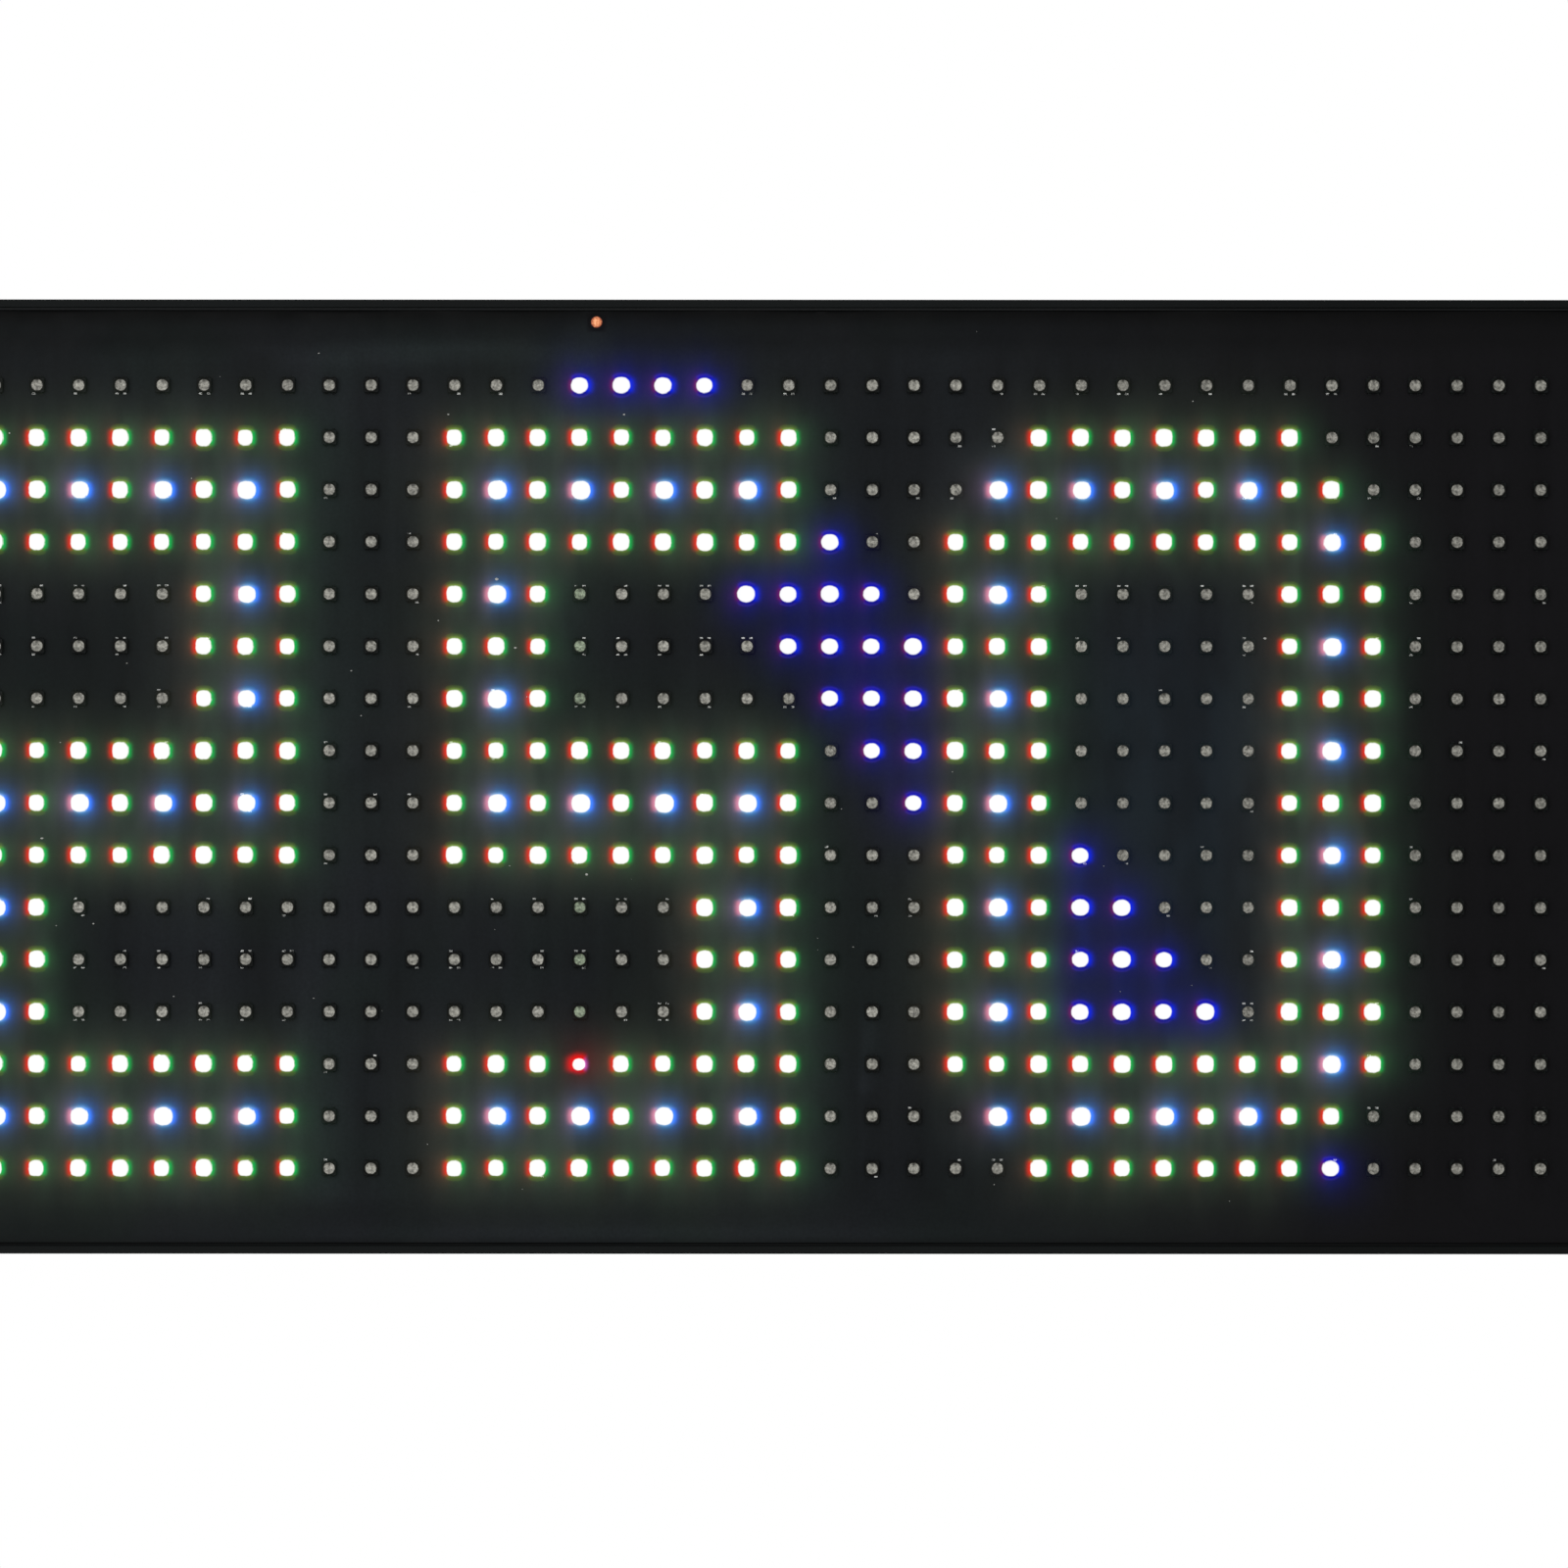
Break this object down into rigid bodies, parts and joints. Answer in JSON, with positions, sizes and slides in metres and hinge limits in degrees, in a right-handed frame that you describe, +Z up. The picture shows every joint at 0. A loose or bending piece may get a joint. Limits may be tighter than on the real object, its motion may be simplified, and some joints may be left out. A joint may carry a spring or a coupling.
{
  "type": "programmable led sign",
  "caption": "Flexible black lamp-matrix sign with a soft rimmed cover, lit figures behind a blue stripe, corner hanging holes and a control box on the back.",
  "frame": {"origin": "centre of the four hanging holes, on the plane of the back face", "axes": "+X along the sign, to the right as the display is read; +Y out of the back; +Z up; the lamps face -Y"},
  "size_m": [0.58, 0.0133, 0.128],
  "materials": {
    "soft_cover": "soft black moulded cover, faint satin",
    "foam": "closed-cell foam sheet",
    "circuit": "black circuit coating with a satin sheen and soft streaks",
    "bare_copper": "bare copper pad, slightly dulled",
    "lamp_housing": "matte black lamp housing",
    "lens_unlit": "clear resin over a pale reflector cup",
    "lens_warm": "lit lamp, red and green mixed to a warm white",
    "lens_cool": "lit lamp, cool white",
    "lens_blue": "lit lamp, deep blue with a white centre",
    "lens_red": "lit lamp, red with a white centre",
    "chip_black": "moulded black chip package",
    "capacitor": "tan ceramic chip",
    "ribbon": "flat ribbon cable",
    "tape": "double-sided foam tape",
    "box_plastic": "fine-textured black moulded plastic",
    "screw_steel": "small plated screw",
    "board_green": "green circuit board",
    "connector_plastic": "ivory connector",
    "plated_shell": "plated metal shell",
    "board_blue": "blue module board",
    "ferrite": "dark ferrite",
    "can_aluminium": "aluminium can"
  },
  "bodies": {
    "root": {"back_cover": "soft_cover", "foam_backing": "foam", "flex_circuit": "circuit", "copper_pad": "bare_copper", "led_row_01": "lamp_housing", "led_row_02": "lamp_housing", "led_row_03": "lamp_housing", "led_row_04": "lamp_housing", "led_row_05": "lamp_housing", "led_row_06": "lamp_housing", "led_row_07": "lamp_housing", "led_row_08": "lamp_housing", "led_row_09": "lamp_housing", "led_row_10": "lamp_housing", "led_row_11": "lamp_housing", "led_row_12": "lamp_housing", "led_row_13": "lamp_housing", "led_row_14": "lamp_housing", "led_row_15": "lamp_housing", "led_row_16": "lamp_housing", "unlit_lenses": "lens_unlit", "warm_lenses": "lens_warm", "cool_lenses": "lens_cool", "blue_lenses": "lens_blue", "red_lens": "lens_red", "column_drivers": "chip_black", "row_drivers": "chip_black", "line_decoders": "chip_black", "circuit_capacitors": "capacitor", "ribbon_cable": "ribbon", "mounting_tape": "tape", "controller_base": "box_plastic", "controller_lid": "box_plastic", "controller_screws": "screw_steel", "controller_board": "board_green", "ribbon_connector": "connector_plastic", "usb_shell": "plated_shell", "usb_tongue": "chip_black", "microcontroller": "chip_black", "crystal": "plated_shell", "radio_module": "board_blue", "radio_shield": "plated_shell", "flash_memory": "chip_black", "voltage_regulator": "chip_black", "power_inductor": "ferrite", "bulk_capacitors": "can_aluminium", "buffer_chips": "chip_black", "board_capacitors": "capacitor"}
  },
  "joints": []
}
